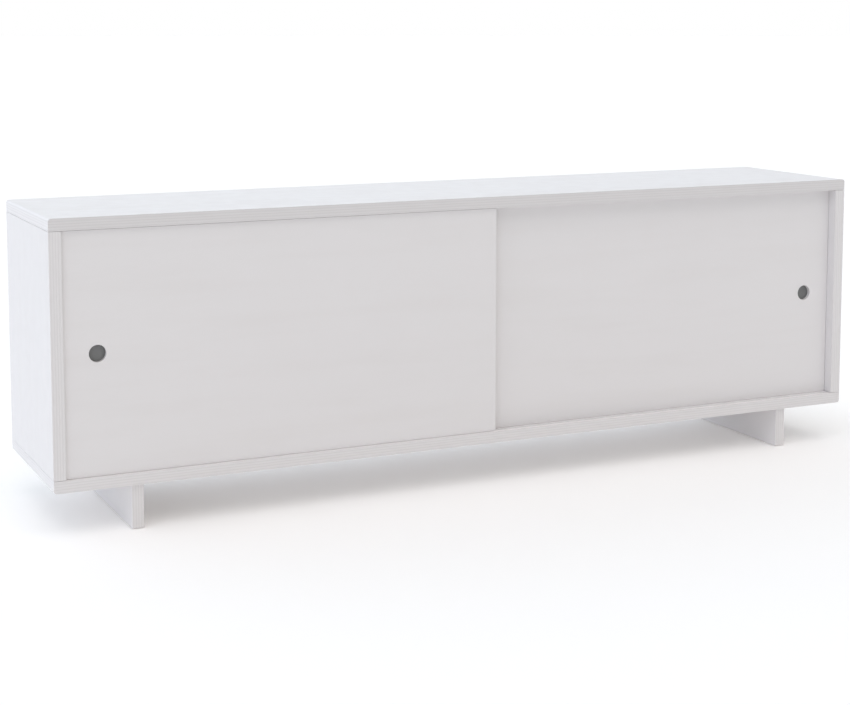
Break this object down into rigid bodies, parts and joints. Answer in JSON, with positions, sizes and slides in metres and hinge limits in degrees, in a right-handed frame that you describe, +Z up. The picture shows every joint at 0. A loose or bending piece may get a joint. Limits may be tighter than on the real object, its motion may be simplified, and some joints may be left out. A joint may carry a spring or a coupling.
{
  "type": "tv stand",
  "caption": "Low white TV stand: a flat-panel case on panel feet, closed by bypass sliding doors with round finger holes, with shelves and cable holes inside.",
  "frame": {"origin": "on the floor, under the middle of the case", "axes": "+X along the case to its right end as a person in front sees it, +Y from the doors to the back, +Z up"},
  "size_m": [1.83, 0.372, 0.608],
  "materials": {
    "white_lacquer": "satin white lacquer over plywood, faint plies on the edges",
    "back_board": "matt white painted board",
    "cup_grey": "satin grey",
    "track_plastic": "satin white extruded plastic",
    "white_nylon": "natural nylon",
    "zinc_steel": "bright zinc plating",
    "beech": "bare fluted beech",
    "soft_rubber": "clear soft rubber"
  },
  "bodies": {
    "case": {"top_panel": "white_lacquer", "bottom_panel": "white_lacquer", "centre_divider": "white_lacquer", "left_side_panel": "white_lacquer", "left_back_panel": "back_board", "left_cable_grommet": "white_nylon", "left_shelf": "white_lacquer", "right_side_panel": "white_lacquer", "right_back_panel": "back_board", "right_cable_grommet": "white_nylon", "right_shelf": "white_lacquer", "lower_front_track": "track_plastic", "upper_front_track": "track_plastic", "lower_rear_track": "track_plastic", "upper_rear_track": "track_plastic", "shelf_pin_left_outer_front": "zinc_steel", "shelf_pin_left_outer_rear": "zinc_steel", "shelf_pin_left_inner_front": "zinc_steel", "shelf_pin_left_inner_rear": "zinc_steel", "shelf_pin_right_inner_front": "zinc_steel", "shelf_pin_right_inner_rear": "zinc_steel", "shelf_pin_right_outer_front": "zinc_steel", "shelf_pin_right_outer_rear": "zinc_steel", "case_dowel_lower_left_front": "beech", "case_dowel_lower_left_rear": "beech", "case_dowel_upper_left_front": "beech", "case_dowel_upper_left_rear": "beech", "case_dowel_lower_right_front": "beech", "case_dowel_lower_right_rear": "beech", "case_dowel_upper_right_front": "beech", "case_dowel_upper_right_rear": "beech", "left_foot": "white_lacquer", "left_foot_cleat": "white_lacquer", "floor_pad_left_front": "white_nylon", "cleat_screw_left_front": "zinc_steel", "floor_pad_left_rear": "white_nylon", "cleat_screw_left_rear": "zinc_steel", "right_foot": "white_lacquer", "right_foot_cleat": "white_lacquer", "floor_pad_right_front": "white_nylon", "cleat_screw_right_front": "zinc_steel", "floor_pad_right_rear": "white_nylon", "cleat_screw_right_rear": "zinc_steel", "left_door_bumper_lower": "soft_rubber", "left_door_bumper_upper": "soft_rubber", "right_door_bumper_lower": "soft_rubber", "right_door_bumper_upper": "soft_rubber"},
    "left_door": {"left_door": "white_lacquer", "left_finger_cup": "cup_grey", "left_door_glide_1": "white_nylon", "left_door_glide_2": "white_nylon", "left_door_guide_1": "white_nylon", "left_door_guide_2": "white_nylon"},
    "right_door": {"right_door": "white_lacquer", "right_finger_cup": "cup_grey", "right_door_glide_1": "white_nylon", "right_door_glide_2": "white_nylon", "right_door_guide_1": "white_nylon", "right_door_guide_2": "white_nylon"}
  },
  "joints": [
    {"name": "left_door_slide", "type": "slide", "parent": "case", "child": "left_door", "axis": [1, 0, 0], "range_m": [0, 0.87]},
    {"name": "right_door_slide", "type": "slide", "parent": "case", "child": "right_door", "axis": [-1, 0, 0], "range_m": [0, 0.87]}
  ]
}
